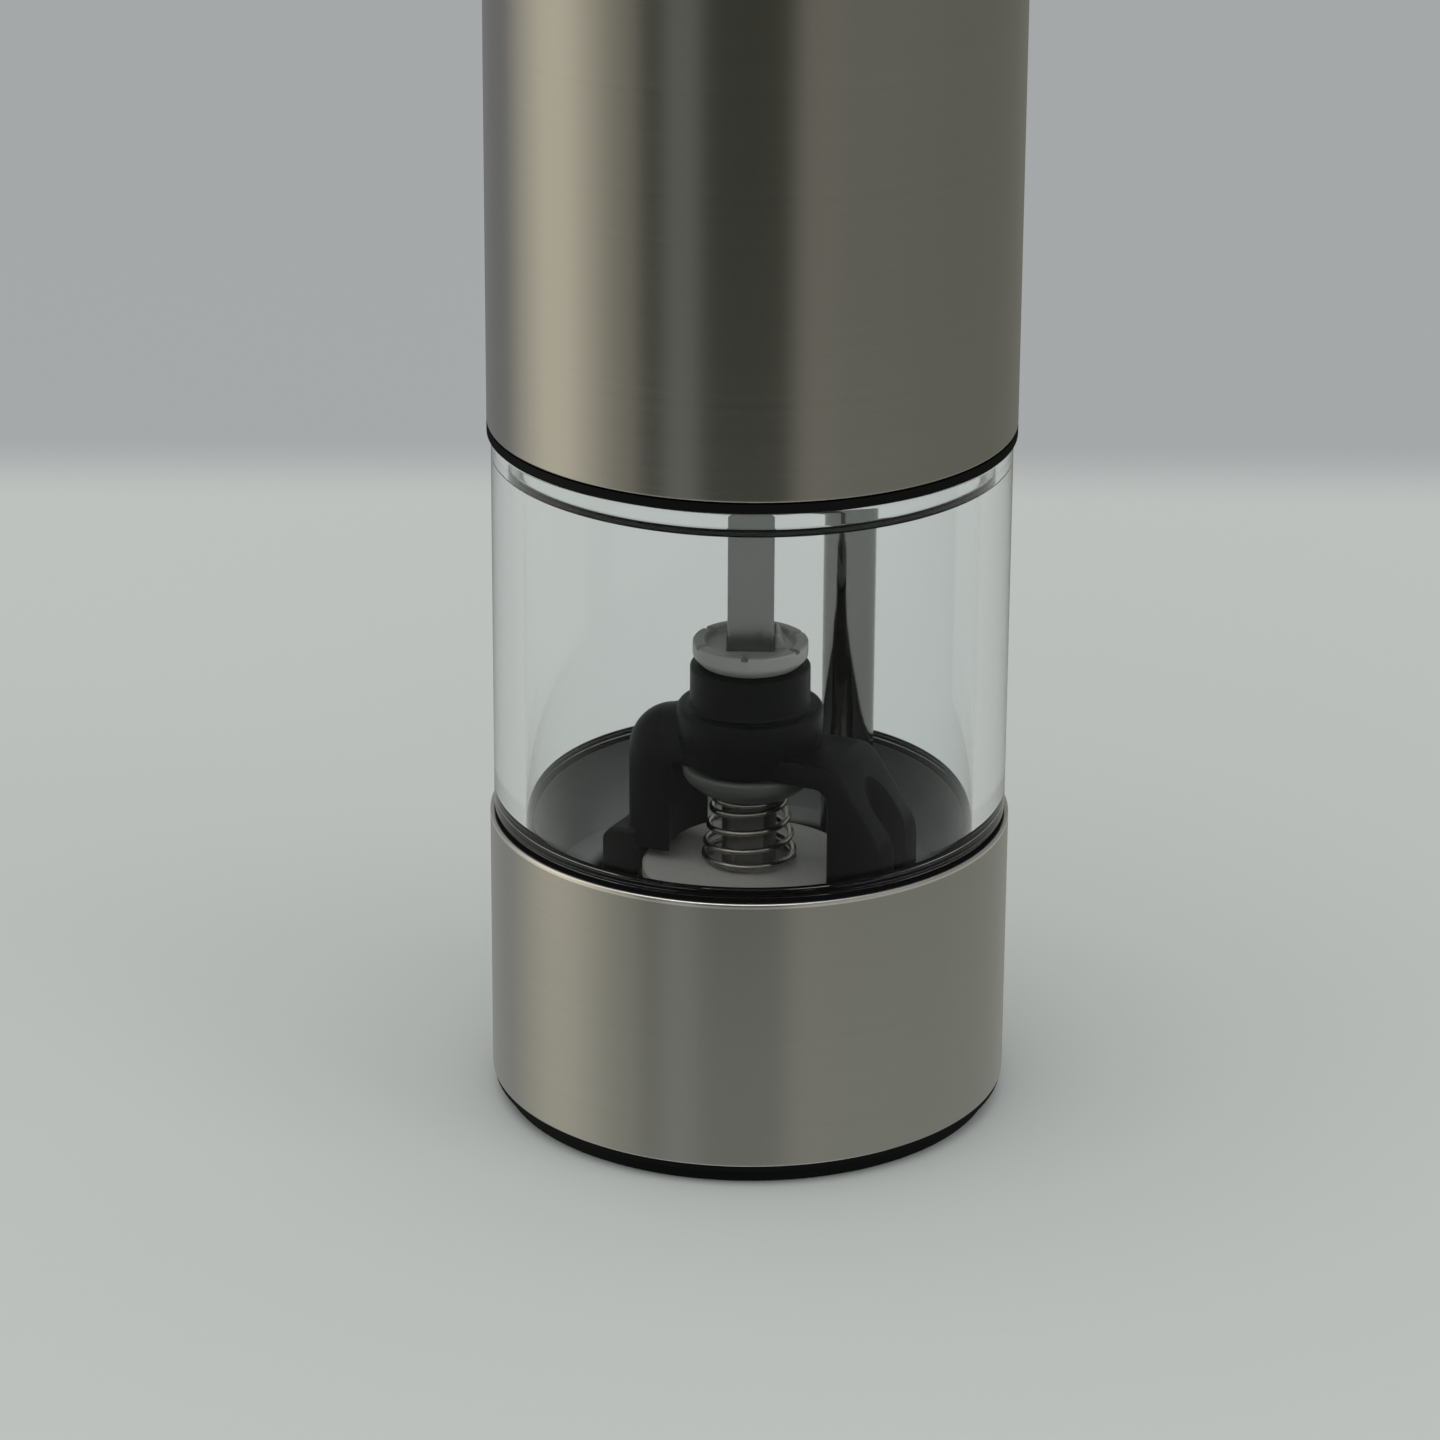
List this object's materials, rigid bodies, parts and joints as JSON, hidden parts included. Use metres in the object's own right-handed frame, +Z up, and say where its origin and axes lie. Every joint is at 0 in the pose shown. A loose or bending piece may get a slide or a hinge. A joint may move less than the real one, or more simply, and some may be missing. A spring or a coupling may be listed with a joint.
{
  "type": "electric pepper mill",
  "caption": "Free-standing battery mill: brushed steel base with ceramic burrs, clear jar with a square drive shaft, lift-off motor unit, steel cover and push button.",
  "frame": {"origin": "centre of the foot's resting face", "axes": "+Z up along the drive axis; -Y is the side that the picture shows"},
  "size_m": [0.051, 0.051, 0.2216],
  "materials": {
    "black_plastic": "satin moulded black plastic",
    "gloss_black": "smooth black plastic",
    "brushed_steel": "brushed around the body",
    "satin_steel": "drawn satin steel",
    "spring_steel": "bright spring wire",
    "polished_steel": "polished tube",
    "clear_acrylic": "clear, polished",
    "ceramic": "fired, unglazed",
    "nylon": "natural translucent nylon",
    "grey_plastic": "grey moulded plastic",
    "pale_plastic": "pale moulded gear plastic",
    "seal_rubber": "black rubber",
    "brass": "turned brass",
    "zinc_steel": "zinc plated",
    "aluminium": "machined",
    "board_green": "coated circuit board",
    "lamp_white": "cast lamp body",
    "wire_red": "wire insulation",
    "switch_red": "moulded plunger",
    "cell_wrap": "printed film over a steel can",
    "copper": "wound copper and lamination steel",
    "magnet": "sintered ferrite"
  },
  "bodies": {
    "base": {"base_foot": "black_plastic", "base_sleeve": "brushed_steel", "hopper": "black_plastic", "foot_screws": "zinc_steel", "jar": "clear_acrylic", "stator_burr": "ceramic", "burr_bridge": "gloss_black", "bridge_screw": "zinc_steel", "conduit_tube": "polished_steel", "tube_contact": "grey_plastic", "lamp_wires": "wire_red", "lamp_board": "board_green", "lamp": "lamp_white", "lamp_window": "clear_acrylic"},
    "spindle": {"drive_socket": "nylon", "spindle_rod": "satin_steel", "thrust_washer": "grey_plastic", "burr_spring": "spring_steel"},
    "grinder": {"rotor_burr": "ceramic"},
    "knob": {"adjust_knob": "black_plastic"},
    "motor_unit": {"bulkhead": "black_plastic", "plug_ring": "clear_acrylic", "plug_seal": "seal_rubber", "contact_pins": "brass", "shaft_bush": "brass", "gear_housing": "grey_plastic", "motor_plate": "aluminium", "gearbox_screws": "zinc_steel", "motor_can": "zinc_steel", "motor_end_cap": "pale_plastic", "motor_magnets": "magnet", "motor_screws": "zinc_steel", "motor_housing": "black_plastic", "battery_holder": "black_plastic", "battery_cells": "cell_wrap", "cell_springs": "spring_steel", "contact_plates": "spring_steel", "switch_board": "board_green", "switch_body": "black_plastic"},
    "motor_rotor": {"motor_armature": "copper", "sun_pinion": "brass"},
    "first_carrier": {"carrier_1": "pale_plastic"},
    "first_planet_a": {"planet_1a": "pale_plastic"},
    "first_planet_b": {"planet_1b": "pale_plastic"},
    "first_planet_c": {"planet_1c": "pale_plastic"},
    "output": {"carrier_2": "pale_plastic", "drive_shaft": "satin_steel"},
    "second_planet_a": {"planet_2a": "pale_plastic"},
    "second_planet_b": {"planet_2b": "pale_plastic"},
    "second_planet_c": {"planet_2c": "pale_plastic"},
    "plunger": {"switch_plunger": "switch_red"},
    "cover": {"upper_sleeve": "brushed_steel", "top_cap": "black_plastic", "button_spring": "spring_steel"},
    "button": {"push_button": "gloss_black", "button_clip": "spring_steel"}
  },
  "joints": [
    {"name": "unit_lift", "type": "slide", "parent": "base", "child": "motor_unit", "axis": [0, 0, 1], "range_m": [0, 0.06]},
    {"name": "cover_lift", "type": "slide", "parent": "motor_unit", "child": "cover", "axis": [0, 0, 1], "range_m": [0, 0.14]},
    {"name": "button_press", "type": "slide", "parent": "cover", "child": "button", "axis": [0, 0, -1], "range_m": [0, 0.0025], "stiffness_N_per_m": 500, "springref_m": -0.001, "deforming": ["button_spring"]},
    {"name": "switch_travel", "type": "slide", "parent": "motor_unit", "child": "plunger", "axis": [0, 0, -1], "range_m": [0, 0.0025]},
    {"name": "motor_spin", "type": "hinge", "parent": "motor_unit", "child": "motor_rotor", "pos_m": [0, 0, 0.09], "axis": [0, 0, 1], "continuous": true},
    {"name": "first_carrier_spin", "type": "hinge", "parent": "motor_unit", "child": "first_carrier", "pos_m": [0, 0, 0.085], "axis": [0, 0, 1], "continuous": true},
    {"name": "output_spin", "type": "hinge", "parent": "motor_unit", "child": "output", "pos_m": [0, 0, 0.075], "axis": [0, 0, 1], "continuous": true},
    {"name": "spindle_spin", "type": "hinge", "parent": "base", "child": "spindle", "pos_m": [0, 0, 0.03], "axis": [0, 0, 1], "continuous": true},
    {"name": "grind_adjust", "type": "slide", "parent": "spindle", "child": "grinder", "axis": [0, 0, -1], "range_m": [0, 0.0009], "deforming": ["burr_spring"]},
    {"name": "knob_turn", "type": "hinge", "parent": "grinder", "child": "knob", "pos_m": [0, 0, 0.005], "axis": [0, 0, -1], "range_deg": [0, 405]},
    {"name": "first_planet_a_spin", "type": "hinge", "parent": "first_carrier", "child": "first_planet_a", "pos_m": [0.009, 0, 0.0897], "axis": [0, 0, 1], "continuous": true},
    {"name": "second_planet_a_spin", "type": "hinge", "parent": "output", "child": "second_planet_a", "pos_m": [0.009, 0, 0.0803], "axis": [0, 0, 1], "continuous": true},
    {"name": "first_planet_b_spin", "type": "hinge", "parent": "first_carrier", "child": "first_planet_b", "pos_m": [-0.0045, 0.00779, 0.0897], "axis": [0, 0, 1], "continuous": true},
    {"name": "second_planet_b_spin", "type": "hinge", "parent": "output", "child": "second_planet_b", "pos_m": [-0.0045, 0.00779, 0.0803], "axis": [0, 0, 1], "continuous": true},
    {"name": "first_planet_c_spin", "type": "hinge", "parent": "first_carrier", "child": "first_planet_c", "pos_m": [-0.0045, -0.00779, 0.0897], "axis": [0, 0, 1], "continuous": true},
    {"name": "second_planet_c_spin", "type": "hinge", "parent": "output", "child": "second_planet_c", "pos_m": [-0.0045, -0.00779, 0.0803], "axis": [0, 0, 1], "continuous": true}
  ],
  "couplings": [
    {"joint": "switch_travel", "follows": "button_press", "ratio": 1},
    {"joint": "first_carrier_spin", "follows": "motor_spin", "ratio": 0.2},
    {"joint": "output_spin", "follows": "motor_spin", "ratio": 0.04},
    {"joint": "spindle_spin", "follows": "motor_spin", "ratio": 0.04},
    {"joint": "knob_turn", "follows": "grind_adjust", "rad_per_m": 7853.9},
    {"joint": "first_planet_a_spin", "follows": "motor_spin", "ratio": -0.53333},
    {"joint": "second_planet_a_spin", "follows": "motor_spin", "ratio": -0.10667},
    {"joint": "first_planet_b_spin", "follows": "motor_spin", "ratio": -0.53333},
    {"joint": "second_planet_b_spin", "follows": "motor_spin", "ratio": -0.10667},
    {"joint": "first_planet_c_spin", "follows": "motor_spin", "ratio": -0.53333},
    {"joint": "second_planet_c_spin", "follows": "motor_spin", "ratio": -0.10667}
  ]
}
